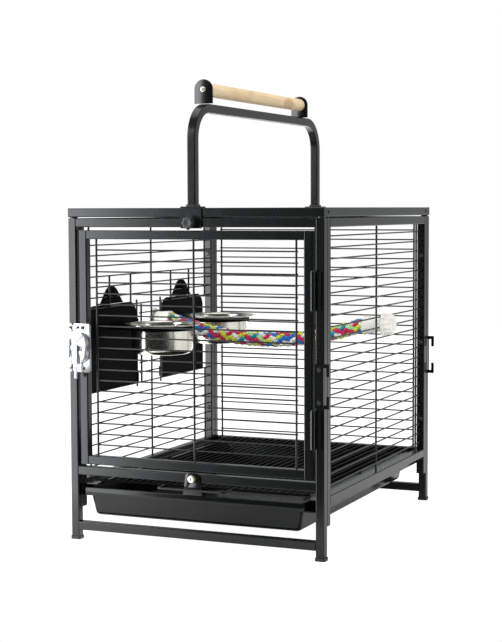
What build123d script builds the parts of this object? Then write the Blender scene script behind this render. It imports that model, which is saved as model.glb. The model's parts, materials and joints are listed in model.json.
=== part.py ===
"""Bird travel carrier: tube frame cage with door, pull-out tray and grate, feeders, perch and handle."""
import math
import os

from build123d import *

os.makedirs("parts", exist_ok=True)

# ---- Driving dimensions, in millimetres. X is the width, -Y the door side, Z up from the floor.
body_width = 394.0
body_depth = 490.0
body_height = 482.0

tube = 12.7
tube_wall = 1.2
tube_corner = 1.6
weld_gap = 0.05
roof_seam = 1.6
plug_length = 6.0
plug_corner = 1.0

foot_height = 4.5
foot_floor = 3.0
foot_skin = 1.2
side_tube_bottom = 46.5
bottom_rail_z = 14.0
lower_rail_z = 95.3
side_rail_z = 74.0

wire = 2.2
rib = 3.0
weld_bite = 0.4
front_wire_count = 19
front_wire_pitch = 15.69
back_wire_count = 23
back_wire_lift = 1.5
side_wire_count = 23
side_wire_pitch = 15.65
roof_wire_count = 28
door_rib_spacing = 154.4
back_rib_spacing = 173.0
side_rib_spacing = 200.5
roof_rib_spacing = 140.0

door_side_gap = 4.3
door_top_gap = 4.5
door_bottom_gap = 3.5

pin_radius = 1.7
knuckle_radius = 3.7
hinge_stand_off = 4.0
hinge_height = 52.0
hinge_above_door_foot = 68.5
hinge_below_door_top = 81.5
hinge_segment_gap = 0.4
leaf_thickness = 2.0
leaf_clearance = 0.65
pin_overhang = 1.0
pin_head_height = 1.6
post_leaf_width = 9.0
door_leaf_width = 6.0
running_gap = 0.05

latch_height = 70.0
latch_mount_thickness = 1.6
latch_mount_width = 19.5
latch_plate_thickness = 2.4
latch_plate_width = 28.0
latch_plate_reach = 8.4
latch_housing_depth = 6.5
latch_housing_height = 47.0
latch_housing_radius = 16.0
latch_housing_inset = 1.0
latch_housing_draft = 6.0
latch_plate_corner = 3.0
latch_screw_inset = 5.5
latch_screw_edge = 12.4
latch_hole_edge = 19.0
latch_hole_radius = 2.0
latch_slot_edge = 15.9
latch_slot_width = 3.0
latch_slot_depth = 1.4
latch_slot_height = 15.0
latch_slot_drop = 8.0
bolt_height = 7.0
bolt_thickness = 3.2
bolt_clearance = 0.4
bolt_back_room = 8.0
bolt_length = 14.0
lever_inset = 6.6
lever_edge = 0.9
lever_gap = 0.6
lever_width = 4.6
lever_thickness = 2.6
lever_above_middle = 4.5
lever_below_middle = 43.5
keeper_width = 6.6
keeper_thickness = 2.4
keeper_nose_gap = 0.5
keeper_block_height = 28.0
keeper_block_reach = 1.0
keeper_screw_inset = 5.5
screw_head_radius = 3.4
screw_head_height = 1.6
small_screw_radius = 2.6
roof_screw_height = 1.0
head_draft = 24.0

tray_side_gap = 12.3
tray_shift = -4.5
tray_lip_width = 4.5
tray_top_z = 77.0
tray_floor_z = 35.3
tray_lip_height = 11.5
tray_wall = 2.4
tray_taper = 6.5
tray_corner = 8.5
tray_lip_corner = 4.0
tray_foot_edge = 7.0
tray_front_gap = 2.0
tray_back_gap = 2.0

grate_bar = 2.8
grate_cross = 3.4
grate_pitch = 11.6
grate_bar_count = 28
grate_z = 82.0
grate_cross_count = 3
grate_cross_overhang = 8.0
grate_cross_inset = 14.0
grate_front_gap = 1.0
pull_bend = 5.0
pull_wire = 3.2
pull_bars = 9
pull_reach = 9.0

tab_thickness = 2.0
tab_top_width = 20.0
tab_bottom_width = 30.0
tab_top_z = 110.0
tab_bottom_z = 78.0
tab_corner = 6.0
thumb_radius = 5.5
thumb_height = 5.0
thumb_edge = 1.2
thumb_gap = 0.2
thumb_shank_length = 8.0
thumb_shank_radius = 2.2

ride_gap = 0.3
runner_thickness = 1.5
runner_catch = 5.2
runner_shelf_catch = 4.3
runner_below_rail_top = 0.7

feeder_centre = 121.0
feeder_plate_width = 160.0
feeder_plate_above_wire = 3.55
feeder_plate_below_wire = 1.0
feeder_plate_thickness = 1.5
feeder_shoulder = 22.0
feeder_open_above_wire = 8
feeder_open_below_wire = 16
feeder_rod = 3.0
feeder_rod_overlap = 6.0
strip_rib_inset = 6.0
plate_gap = 0.35
bell_plane_gap = 0.3
feeder_knuckle_wall = 1.2
feeder_knuckle_height = 16.0
guide_centre = 104.0
guide_spacing = 68.0
guide_top_wire = 5
bell_width = 75.0
bell_height = 27.0
bell_gap = 0.4
bell_stem_radius = 2.0
stem_clearance = 0.6
bell_button_radius = 6.0
bell_button_thickness = 1.6
bell_skirt = 0.32
bell_shoulder = 0.26
bell_skirt_rise = 0.35

bowl_rim_radius = 58.0
bowl_body_radius = 46.5
bowl_depth = 46.0
bowl_wall = 1.0
bowl_rim_drop = 2.5
bowl_rim_wire = 10
bowl_rim_above_wire = 6.3
bowl_centre = 103.5
bowl_centre_inset = 74.5
bowl_corner = 9.0
ring_clearance = 1.0
ring_thickness = 2.5
ring_height = 7.0
ring_arm_spacing = 52.0

perch_y = 20.0
perch_radius = 12.8
perch_above_wire = 10
perch_rest_gap = 0.2
perch_half_length = 162.0
perch_end_angle = 4.0
perch_slope = 19.5
perch_end_bend = 120.0
cap_big_radius = 14.5
cap_small_radius = 10.5
cap_gap = 0.2
perch_bolt_sink = 6.0
perch_bolt_end = 3.0
perch_bolt_radius = 2.5
nut_radius = 17.0
nut_grip_radius = 14.5
nut_flange = 4.0
nut_length = 18.0
nut_rib_count = 12
nut_rib_radius = 1.6
nut_rib_stop = 2.0
nut_end_wall = 2.0

handle_rise = 146.4
handle_bend = 45.0
foot_plate_width = 32.0
foot_plate_thickness = 2.0
foot_plate_drop = 1.5
foot_collar = 17.0
foot_collar_height = 3.0
foot_collar_skin = 1.0
foot_collar_draft = 12.0
grip_plate_width = 28.0
grip_plate_thickness = 3.0
grip_front_y = -202.0
grip_back_y = 167.0
grip_height = 20.0
grip_radius = 9.75
grip_end_chamfer = 0.8
grip_screw_radius = 4.0
grip_screw_height = 2.0
knob_radius = 9.5
knob_length = 8.5
knob_flute_radius = 2.4
knob_flute_count = 8
knob_flute_depth = 1.3
knob_edge = 2.0
knob_washer_radius = 7.0
knob_washer_height = 3.0
knob_shank_radius = 3.0
knob_gap = 0.3
knob_shank_depth = 8.0

hook_plate_thickness = 3.0
hook_height = 61.0
hook_below_middle = 0.5
hook_reach = 8.3
hook_arm = 5.0
hook_return = 17.0
hook_tip_width = 4.0
hook_screw_inset = 8.0

panel_bolt_radius = 2.0
panel_bolts_under_wire = [3, 12, 20]
panel_bolt_head_radius = 4.0
panel_bolt_head = 2.4
panel_bolt_end = 0.6
spacer_radius = 5.6

# ---- Places that follow from the sizes above.
half_tube = tube / 2
half_width = body_width / 2
half_depth = body_depth / 2
front_face = -half_depth
post_x = half_width - half_tube
post_y = half_depth - half_tube
side_tube_y = post_y - tube
inner_x = half_width - tube
inner_y = half_depth - tube
roof_z = body_height - half_tube
panel_top = body_height - tube - roof_seam
top_rail_z = panel_top - tube
side_inner_y = inner_y - tube
X_AXIS = (1, 0, 0)
Y_AXIS = (0, 1, 0)
Z_AXIS = (0, 0, 1)

door_half = inner_x - door_side_gap
door_low = lower_rail_z + tube + door_bottom_gap
door_high = top_rail_z - door_top_gap
door_inner = door_half - tube

hinge_centres = [door_low + hinge_above_door_foot, door_high - hinge_below_door_top]
latch_middle = (door_low + door_high) / 2
latch_low = latch_middle - latch_height / 2
latch_high = latch_middle + latch_height / 2
hook_middle = body_height / 2 - hook_below_middle
hook_low = hook_middle - hook_height / 2
hook_high = hook_middle + hook_height / 2
tray_width = 2 * (inner_x - tray_side_gap)
arm_top_z = body_height + handle_rise
foot_plate_low = top_rail_z - foot_plate_drop


def save(part, label):
    """Name a finished piece and write it as its own STEP file."""
    part.label = label
    export_step(part, f"parts/{label}.step")


def tube_run(start, direction, length):
    """Add one hollow square tube, leaving the weld gap at both of its ends."""
    low = Vector(*start) + Vector(*direction) * weld_gap
    with BuildSketch(Plane(origin=low, z_dir=direction)) as section:
        RectangleRounded(tube, tube, tube_corner)
        Rectangle(tube - 2 * tube_wall, tube - 2 * tube_wall, mode=Mode.SUBTRACT)
    extrude(section.sketch, amount=length - 2 * weld_gap)


def rod(start, direction, length, radius, mode=Mode.ADD):
    """Add or cut one round rod from its start point along a direction."""
    with BuildSketch(Plane(origin=start, z_dir=direction)) as section:
        Circle(radius)
    extrude(section.sketch, amount=length, mode=mode)


def block(low, high, mode=Mode.ADD):
    """Add or cut a box given by its lowest and highest corners."""
    size = [b - a for a, b in zip(low, high)]
    with Locations([((low[0] + high[0]) / 2, (low[1] + high[1]) / 2, (low[2] + high[2]) / 2)]):
        Box(*size, mode=mode)


def dome_head(centre, direction, radius, height):
    """Add a low domed screw head standing on its seat."""
    with BuildSketch(Plane(origin=centre, z_dir=direction)) as base:
        Circle(radius)
    extrude(base.sketch, amount=height, taper=head_draft)


def side_wire_height(number):
    """Height of a side panel wire, numbered from the top rail down."""
    middle = (top_rail_z + side_rail_z + tube) / 2
    return middle + side_wire_pitch * ((side_wire_count + 1) / 2 - number)


panel_bolt_heights = [side_wire_height(n) - side_wire_pitch / 2 for n in panel_bolts_under_wire]
feeder_plate_high = side_wire_height(feeder_open_above_wire) + feeder_plate_above_wire
feeder_plate_low = side_wire_height(feeder_open_below_wire) - feeder_plate_below_wire
bowl_rim_z = side_wire_height(bowl_rim_wire) + bowl_rim_above_wire


# ---- Front and back panels: two posts with rails between them.
def panel_bolt_places(sign):
    """Bolt centres on one panel's posts, at the face that meets the side frames."""
    return [(x * post_x, sign * inner_y, z) for x in (-1, 1) for z in panel_bolt_heights]


knob_z = top_rail_z + half_tube
thumb_z = lower_rail_z + half_tube

with BuildPart() as front_frame:
    for x in (-post_x, post_x):
        tube_run((x, -post_y, foot_floor), Z_AXIS, panel_top - foot_floor)
    for z in (bottom_rail_z, lower_rail_z, top_rail_z):
        tube_run((-inner_x, -post_y, z + half_tube), X_AXIS, 2 * inner_x)
    rod((0, front_face - 1, knob_z), Y_AXIS, tube_wall + 2, knob_shank_radius + running_gap, Mode.SUBTRACT)
    rod((0, front_face - 1, thumb_z), Y_AXIS, tube_wall + 2, thumb_shank_radius + ride_gap, Mode.SUBTRACT)
    for place in panel_bolt_places(-1):
        rod(place, (0, -1, 0), tube_wall + 1, panel_bolt_radius + running_gap, Mode.SUBTRACT)
save(front_frame.part, "front_frame")

with BuildPart() as back_frame:
    for x in (-post_x, post_x):
        tube_run((x, post_y, foot_floor), Z_AXIS, panel_top - foot_floor)
    for z in (bottom_rail_z, side_rail_z, top_rail_z):
        tube_run((-inner_x, post_y, z + half_tube), X_AXIS, 2 * inner_x)
    knob_hole = knob_shank_radius + running_gap
    rod((0, half_depth + 1, knob_z), (0, -1, 0), tube_wall + 2, knob_hole, Mode.SUBTRACT)
    for place in panel_bolt_places(1):
        rod(place, Y_AXIS, tube_wall + 1, panel_bolt_radius + running_gap, Mode.SUBTRACT)
save(back_frame.part, "back_frame")

# ---- Side frames, set between the posts.
for side, label in ((-1, "left_frame"), (1, "right_frame")):
    with BuildPart() as side_frame:
        for y in (-side_tube_y, side_tube_y):
            tube_run((side * post_x, y, side_tube_bottom), Z_AXIS, panel_top - side_tube_bottom)
        for z in (side_rail_z, top_rail_z):
            tube_run((side * post_x, -side_inner_y, z + half_tube), Y_AXIS, 2 * side_inner_y)
        for end in (-1, 1):
            for z in panel_bolt_heights:
                start = (side * post_x, end * (side_inner_y - 1), z)
                rod(start, (0, end, 0), tube + 2, panel_bolt_radius + running_gap, Mode.SUBTRACT)
    save(side_frame.part, label)

# ---- Roof frame: full-width cross tubes front and back, side tubes between them.
with BuildPart() as roof_frame:
    for y in (-post_y, post_y):
        tube_run((-half_width - weld_gap, y, roof_z), X_AXIS, body_width + 2 * weld_gap)
    for x in (-post_x, post_x):
        tube_run((x, -inner_y, roof_z), Y_AXIS, 2 * inner_y)
save(roof_frame.part, "roof_frame")

with BuildPart() as tube_plugs:
    plug_side = tube - 2 * tube_wall
    for x in (-1, 1):
        for y in (-post_y, post_y):
            with BuildSketch(Plane(origin=(x * half_width, y, roof_z), z_dir=(x, 0, 0))) as plug:
                RectangleRounded(plug_side, plug_side, plug_corner)
            extrude(plug.sketch, amount=-plug_length)
save(tube_plugs.part, "tube_plugs")

with BuildPart() as roof_spacers:
    for x in (-post_x, post_x):
        for y in (-post_y, post_y):
            rod((x, y, panel_top), Z_AXIS, roof_seam, spacer_radius)
save(roof_spacers.part, "roof_spacers")

with BuildPart() as roof_screws:
    for x in (-1, 1):
        for y in (-side_tube_y, side_tube_y):
            dome_head((x * half_width, y, roof_z), (x, 0, 0), small_screw_radius, roof_screw_height)
save(roof_screws.part, "roof_screws")

with BuildPart() as panel_bolts:
    for x in (-post_x, post_x):
        for end in (-1, 1):
            for z in panel_bolt_heights:
                dome_head((x, end * side_inner_y, z), (0, -end, 0), panel_bolt_head_radius, panel_bolt_head)
                bolt_reach = tube + tube_wall + panel_bolt_end
                rod((x, end * side_inner_y, z), (0, end, 0), bolt_reach, panel_bolt_radius)
save(panel_bolts.part, "panel_bolts")

with BuildPart() as foot_caps:
    for x in (-post_x, post_x):
        for y in (-post_y, post_y):
            with BuildSketch(Plane.XY) as cap:
                with Locations((x, y)):
                    RectangleRounded(tube + 2 * foot_skin, tube + 2 * foot_skin, tube_corner + foot_skin)
            extrude(cap.sketch, amount=foot_height)
            with BuildSketch(Plane.XY.offset(foot_floor)) as pocket:
                with Locations((x, y)):
                    RectangleRounded(tube, tube, tube_corner)
            extrude(pocket.sketch, amount=foot_height, mode=Mode.SUBTRACT)
save(foot_caps.part, "foot_caps")


# ---- Welded wire grids. Wires lie across the ribs and bite into them a little.
def wire_row(middle, across, length, step, count, pitch):
    """Add a row of parallel wires, centred on one point and spread along the step direction."""
    for i in range(count):
        shift = (i - (count - 1) / 2) * pitch
        start = Vector(*middle) + Vector(*step) * shift - Vector(*across) * (length / 2)
        rod(start, across, length, wire / 2)


rib_offset = (wire + rib) / 2 - weld_bite
wire_pull_in = 2 * weld_gap

with BuildPart() as back_grid:
    low = side_rail_z + tube + wire_pull_in
    high = top_rail_z - wire_pull_in
    middle = (0, post_y - rib_offset, (low + high) / 2 + back_wire_lift)
    wire_row(middle, X_AXIS, 2 * back_rib_spacing + rib, Z_AXIS, back_wire_count, front_wire_pitch)
    for x in (-back_rib_spacing, 0, back_rib_spacing):
        rod((x, post_y, low), Z_AXIS, high - low, rib / 2)
save(back_grid.part, "back_grid")

with BuildPart() as right_grid:
    low = side_rail_z + tube + wire_pull_in
    high = top_rail_z - wire_pull_in
    wire_length = 2 * side_inner_y - 2 * wire_pull_in
    wire_row((post_x, 0, (low + high) / 2), Y_AXIS, wire_length, Z_AXIS, side_wire_count, side_wire_pitch)
    for y in (-side_rib_spacing, 0, side_rib_spacing):
        rod((post_x - rib_offset, y, low), Z_AXIS, high - low, rib / 2)
save(right_grid.part, "right_grid")

# The left grid leaves two openings, each closed by a hinged feeder plate.
hinge_rod_y = feeder_centre - feeder_plate_width / 2
strip_rib_y = hinge_rod_y - strip_rib_inset
rib_x = -post_x + rib_offset
with BuildPart() as left_grid:
    for number in range(1, side_wire_count + 1):
        z = side_wire_height(number)
        half = wire_length / 2
        if feeder_open_above_wire < number < feeder_open_below_wire:
            half = strip_rib_y + rib / 2
        rod((-post_x, -half, z), Y_AXIS, 2 * half, wire / 2)
    open_top = side_wire_height(feeder_open_above_wire) - wire / 2
    open_low = side_wire_height(feeder_open_below_wire) + wire / 2
    for y in (-side_rib_spacing, 0, side_rib_spacing):
        rod((rib_x, y, open_top), Z_AXIS, high - open_top, rib / 2)
        rod((rib_x, y, low), Z_AXIS, open_low - low, rib / 2)
    for y in (-strip_rib_y, 0, strip_rib_y):
        rod((rib_x, y, open_low + weld_gap), Z_AXIS, open_top - open_low - 2 * weld_gap, rib / 2)
    guide_top = side_wire_height(guide_top_wire)
    for centre in (-guide_centre, guide_centre):
        for y in (centre - guide_spacing / 2, centre + guide_spacing / 2):
            rod((rib_x, y, open_top), Z_AXIS, guide_top + wire / 2 - open_top, rib / 2)
save(left_grid.part, "left_grid")

with BuildPart() as roof_grid:
    reach = inner_y - wire_pull_in
    width = 2 * inner_x - 2 * wire_pull_in
    wire_row((0, 0, roof_z), X_AXIS, width, Y_AXIS, roof_wire_count, front_wire_pitch)
    for x in (-roof_rib_spacing, 0, roof_rib_spacing):
        rod((x, -reach, roof_z - rib_offset), Y_AXIS, 2 * reach, rib / 2)
save(roof_grid.part, "roof_grid")

runner_shelf_z = grate_z - ride_gap
runner_bottom_z = tray_top_z - tray_lip_height - ride_gap - runner_thickness
runner_top_z = side_rail_z + tube - runner_below_rail_top
grate_half = (grate_bar_count - 1) / 2 * grate_pitch
cross_half = grate_half + grate_cross_overhang

# ---- Side runners: one folded strip on each wall carries the tray's lip and the grate.
with BuildPart() as side_runners:
    for side in (-1, 1):
        web = inner_x
        foot = tray_width / 2 + side * tray_shift - runner_catch
        shelf = cross_half - runner_shelf_catch
        thick = runner_thickness
        with BuildSketch(Plane(origin=(0, -inner_y, 0), x_dir=(side, 0, 0), z_dir=(0, -side, 0))) as fold:
            with BuildLine():
                Polyline(
                    (web, runner_bottom_z), (foot, runner_bottom_z),
                    (foot, runner_bottom_z + thick), (web - thick, runner_bottom_z + thick),
                    (web - thick, runner_shelf_z - thick), (shelf, runner_shelf_z - thick),
                    (shelf, runner_shelf_z), (web - thick, runner_shelf_z),
                    (web - thick, runner_top_z), (web, runner_top_z), close=True)
            make_face()
        extrude(fold.sketch, amount=-side * (2 * inner_y))
save(side_runners.part, "side_runners")

# ---- Door, hung at the right post and opening towards the front.
with BuildPart() as door_frame:
    for x in (-1, 1):
        stile_foot = (x * (door_half - half_tube), -post_y, door_low - weld_gap)
        tube_run(stile_foot, Z_AXIS, door_high - door_low + 2 * weld_gap)
    for z in (door_low + half_tube, door_high - half_tube):
        tube_run((-door_inner, -post_y, z), X_AXIS, 2 * door_inner)
save(door_frame.part, "door_frame")

with BuildPart() as door_grid:
    low = door_low + tube + wire_pull_in
    high = door_high - tube - wire_pull_in
    middle = (0, -post_y + rib_offset, (low + high) / 2)
    wire_row(middle, X_AXIS, 2 * door_rib_spacing + rib, Z_AXIS, front_wire_count, front_wire_pitch)
    for x in (-door_rib_spacing, 0, door_rib_spacing):
        rod((x, -post_y, low), Z_AXIS, high - low, rib / 2)
save(door_grid.part, "door_grid")

hinge_x = (door_half + inner_x) / 2
hinge_y = front_face - hinge_stand_off
knuckle_part = hinge_height / 3


def hinge_knuckle(z_low, z_high, leaf_low_x, leaf_high_x):
    """Add one hinge knuckle with its leaf and cut its pin hole."""
    rod((hinge_x, hinge_y, z_low), Z_AXIS, z_high - z_low, knuckle_radius)
    block((leaf_low_x, front_face - leaf_thickness, z_low), (leaf_high_x, front_face, z_high))
    rod((hinge_x, hinge_y, z_low - 1), Z_AXIS, z_high - z_low + 2, pin_radius + running_gap, Mode.SUBTRACT)


with BuildPart() as hinge_post_leaves:
    for centre in hinge_centres:
        half = knuckle_part / 2 - hinge_segment_gap
        hinge_knuckle(centre - half, centre + half, hinge_x, inner_x + post_leaf_width)
        for sign in (-1, 1):
            near = centre + sign * half
            far = centre + sign * hinge_height / 2
            block((hinge_x + knuckle_radius + leaf_clearance, front_face - leaf_thickness, min(near, far)),
                  (inner_x + post_leaf_width, front_face, max(near, far)))
save(hinge_post_leaves.part, "hinge_post_leaves")

with BuildPart() as hinge_door_leaves:
    for centre in hinge_centres:
        for sign in (-1, 1):
            middle = centre + sign * knuckle_part
            half = knuckle_part / 2
            hinge_knuckle(middle - half, middle + half, door_half - door_leaf_width, hinge_x)
save(hinge_door_leaves.part, "hinge_door_leaves")

with BuildPart() as hinge_pins:
    for centre in hinge_centres:
        rod((hinge_x, hinge_y, centre - hinge_height / 2 - pin_overhang), Z_AXIS,
            hinge_height + 2 * pin_overhang, pin_radius)
        rod((hinge_x, hinge_y, centre + hinge_height / 2 + hinge_segment_gap), Z_AXIS,
            pin_head_height, pin_radius + pin_overhang)
save(hinge_pins.part, "hinge_pins")

# ---- Slam latch at the door's left side, with its keeper on the post.
mount_face = front_face - latch_mount_thickness
plate_face = mount_face - latch_plate_thickness
housing_face = plate_face - latch_housing_depth
latch_left = -door_half - latch_plate_reach
latch_right = latch_left + latch_plate_width
lever_top = latch_middle + lever_above_middle
lever_bottom = latch_middle - lever_below_middle
bolt_x = latch_left + lever_inset
bolt_y = plate_face - latch_housing_depth / 2

with BuildPart() as latch_mount:
    block((-door_half, mount_face, latch_low), (-door_half + latch_mount_width, front_face, latch_high))
save(latch_mount.part, "latch_mount")

with BuildPart() as latch_body:
    with BuildSketch(Plane(origin=(0, mount_face, 0), x_dir=X_AXIS, z_dir=(0, -1, 0))) as plate:
        with Locations(((latch_left + latch_right) / 2, latch_middle)):
            RectangleRounded(latch_plate_width, latch_high - latch_low, latch_plate_corner)
    extrude(plate.sketch, amount=latch_plate_thickness)
    housing_width = latch_plate_width - 3 * latch_housing_inset
    with BuildSketch(Plane(origin=(0, plate_face, 0), x_dir=X_AXIS, z_dir=(0, -1, 0))) as housing:
        with Locations((latch_left + latch_housing_inset + housing_width / 2, latch_middle)):
            Rectangle(housing_width, latch_housing_height)
        fillet(housing.vertices().sort_by(Axis.X)[-2:], latch_housing_radius)
    extrude(housing.sketch, amount=latch_housing_depth, taper=latch_housing_draft)
    block((latch_left - 1, bolt_y - bolt_thickness / 2 - bolt_clearance,
           latch_middle - bolt_height / 2 - bolt_clearance),
          (bolt_x + bolt_length + bolt_back_room, bolt_y + bolt_thickness / 2 + bolt_clearance,
           latch_middle + bolt_height / 2 + bolt_clearance), Mode.SUBTRACT)
    block((bolt_x - bolt_clearance, housing_face - 1, latch_middle - bolt_height / 2 - bolt_clearance),
          (bolt_x + lever_width + bolt_back_room + bolt_clearance, bolt_y,
           latch_middle + bolt_height / 2 + bolt_clearance), Mode.SUBTRACT)
    hole = (latch_right - latch_hole_edge, mount_face + 1, latch_high - latch_screw_inset)
    rod(hole, (0, -1, 0), latch_plate_thickness + 2, latch_hole_radius, Mode.SUBTRACT)
    slot_right = latch_right - latch_slot_edge + latch_slot_width
    slot_top = latch_middle - latch_slot_drop
    block((slot_right - latch_slot_width, housing_face - 1, slot_top - latch_slot_height),
          (slot_right, housing_face + latch_slot_depth, slot_top), Mode.SUBTRACT)
save(latch_body.part, "latch_body")

with BuildPart() as latch_bolt:
    low_z = latch_middle - bolt_height / 2
    high_z = latch_middle + bolt_height / 2
    nose = -half_width + keeper_width + keeper_nose_gap
    bolt_front = bolt_y - bolt_thickness / 2
    block((nose, bolt_front, low_z), (bolt_x + bolt_length, bolt_front + bolt_thickness, high_z))
    lever_face = housing_face - lever_gap
    block((bolt_x, lever_face, low_z), (bolt_x + lever_width, bolt_y, high_z))
    block((bolt_x, lever_face - lever_thickness, lever_bottom), (bolt_x + lever_width, lever_face, lever_top))
    lever_edges = latch_bolt.edges().filter_by(Axis.Z).group_by(Axis.Y)[0]
    fillet(lever_edges, lever_edge)
save(latch_bolt.part, "latch_bolt")

with BuildPart() as latch_keeper:
    keeper_right = -half_width + keeper_width
    keeper_block_front = bolt_y - bolt_thickness / 2 - keeper_block_reach
    block((-half_width, front_face - keeper_thickness, latch_low), (keeper_right, front_face, latch_high))
    block((-half_width, keeper_block_front, latch_middle - keeper_block_height / 2),
          (keeper_right, front_face, latch_middle + keeper_block_height / 2))
save(latch_keeper.part, "latch_keeper")

with BuildPart() as latch_screws:
    for z in (latch_low + latch_screw_inset, latch_high - latch_screw_inset):
        seat = (latch_right - latch_screw_edge, plate_face, z)
        dome_head(seat, (0, -1, 0), screw_head_radius, screw_head_height)
save(latch_screws.part, "latch_screws")

with BuildPart() as keeper_screws:
    for z in (latch_low + keeper_screw_inset, latch_high - keeper_screw_inset):
        seat = (-half_width + keeper_width / 2, front_face - keeper_thickness, z)
        dome_head(seat, (0, -1, 0), small_screw_radius, screw_head_height)
save(keeper_screws.part, "keeper_screws")

# ---- Tray: tapered pan with a deep outside lip that rides on the runners.
tray_front = front_face + tray_front_gap
tray_back = inner_y - tray_back_gap
tray_middle_y = (tray_front + tray_back) / 2
tray_length = tray_back - tray_front
pan_width = tray_width - 2 * tray_lip_width
pan_length = tray_length - 2 * tray_lip_width

with BuildPart() as tray:
    def pan_section(height, shrink):
        """Rounded outline of the pan at one height."""
        with BuildSketch(Plane.XY.offset(height)) as outline:
            with Locations((tray_shift, tray_middle_y)):
                RectangleRounded(pan_width - 2 * shrink, pan_length - 2 * shrink, tray_corner)
        return outline.sketch

    loft([pan_section(tray_floor_z, tray_taper), pan_section(tray_top_z, 0)])
    with BuildSketch(Plane.XY.offset(tray_top_z)) as lip:
        with Locations((tray_shift, tray_middle_y)):
            RectangleRounded(tray_width, tray_length, tray_lip_corner)
    extrude(lip.sketch, amount=-tray_lip_height)
    fillet(tray.edges().group_by(Axis.Z)[0], tray_foot_edge)
    loft([pan_section(tray_floor_z + tray_wall, tray_taper + tray_wall), pan_section(tray_top_z, tray_wall)],
         mode=Mode.SUBTRACT)
save(tray.part, "tray")

# ---- Grate: bars running front to back on cross wires, above the tray.
grate_front = front_face + tube + grate_front_gap
cross_z = grate_z + grate_cross / 2
bar_z = grate_z + grate_cross + grate_bar / 2 - weld_bite
with BuildPart() as grate:
    front_rod_y = grate_front + grate_cross
    bar_start = front_rod_y + grate_cross / 2 - weld_bite
    bar_length = tray_back - bar_start
    rod((-cross_half, front_rod_y, bar_z), X_AXIS, 2 * cross_half, grate_cross / 2)
    for i in range(grate_bar_count):
        rod((i * grate_pitch - grate_half, bar_start, bar_z), Y_AXIS, bar_length, grate_bar / 2)
    for i in range(grate_cross_count):
        y = bar_start + grate_cross_inset + i * (bar_length - 2 * grate_cross_inset) / (grate_cross_count - 1)
        rod((-cross_half, y, cross_z), X_AXIS, 2 * cross_half, grate_cross / 2)
save(grate.part, "grate")

cross_front = grate_front + grate_cross / 2 - weld_gap
with BuildPart() as grate_pull:
    pull_width = pull_bars * grate_pitch
    pull_front = front_face - pull_reach
    with BuildLine(Plane.XY.offset(bar_z)) as pull_path:
        FilletPolyline((-pull_width / 2, cross_front), (-pull_width / 2, pull_front),
                       (pull_width / 2, pull_front), (pull_width / 2, cross_front), radius=pull_bend)
    with BuildSketch(Plane(origin=pull_path.line @ 0, z_dir=pull_path.line % 0)) as pull_section:
        Circle(pull_wire / 2)
    sweep(pull_section.sketch, path=pull_path.line)
save(grate_pull.part, "grate_pull")

tab_back = front_face - ride_gap
with BuildPart() as grate_tab:
    with BuildSketch(Plane(origin=(0, tab_back, 0), x_dir=X_AXIS, z_dir=(0, -1, 0))) as tab:
        with BuildLine():
            Polyline((-tab_bottom_width / 2, tab_bottom_z), (tab_bottom_width / 2, tab_bottom_z),
                     (tab_top_width / 2, tab_top_z), (-tab_top_width / 2, tab_top_z), close=True)
        make_face()
        fillet(tab.vertices().group_by(Axis.Y)[-1], tab_corner)
        with Locations((0, thumb_z)):
            Circle(thumb_shank_radius + running_gap, mode=Mode.SUBTRACT)
    extrude(tab.sketch, amount=tab_thickness)
    tab_half = tab_bottom_width / 2
    block((-tab_half, tab_back, tab_bottom_z), (tab_half, cross_front, tab_bottom_z + tab_thickness))
    block((-tab_half, cross_front - tab_thickness, tab_bottom_z), (tab_half, cross_front, bar_z))
save(grate_tab.part, "grate_tab")

with BuildPart() as grate_screw:
    head_face = tab_back - tab_thickness - thumb_gap
    rod((0, head_face, thumb_z), (0, -1, 0), thumb_height, thumb_radius)
    fillet(grate_screw.edges().group_by(Axis.Y)[0], thumb_edge)
    rod((0, head_face, thumb_z), Y_AXIS, thumb_shank_length, thumb_shank_radius)
save(grate_screw.part, "grate_screw")

# ---- Feeders in the left wall: hinged plates, their rods, bell latches, bowl rings and bowls.
plate_inner_x = -post_x - wire / 2 - plate_gap
plate_outer_x = plate_inner_x - feeder_plate_thickness
rod_x = -post_x - wire / 2 - feeder_rod / 2
knuckle_outer = feeder_rod / 2 + running_gap + feeder_knuckle_wall
bell_plane_x = plate_outer_x - bell_plane_gap
bowl_x = plate_inner_x + bowl_centre_inset
ring_inner = bowl_body_radius + ring_clearance
ring_top = bowl_rim_z - bowl_rim_drop - ride_gap

with BuildPart() as feeder_rods:
    for y in (-hinge_rod_y, hinge_rod_y):
        rod_low = side_wire_height(feeder_open_below_wire) - feeder_rod_overlap
        rod_high = side_wire_height(feeder_open_above_wire) + feeder_rod_overlap
        rod((rod_x, y, rod_low), Z_AXIS, rod_high - rod_low, feeder_rod / 2)
save(feeder_rods.part, "feeder_rods")

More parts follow.
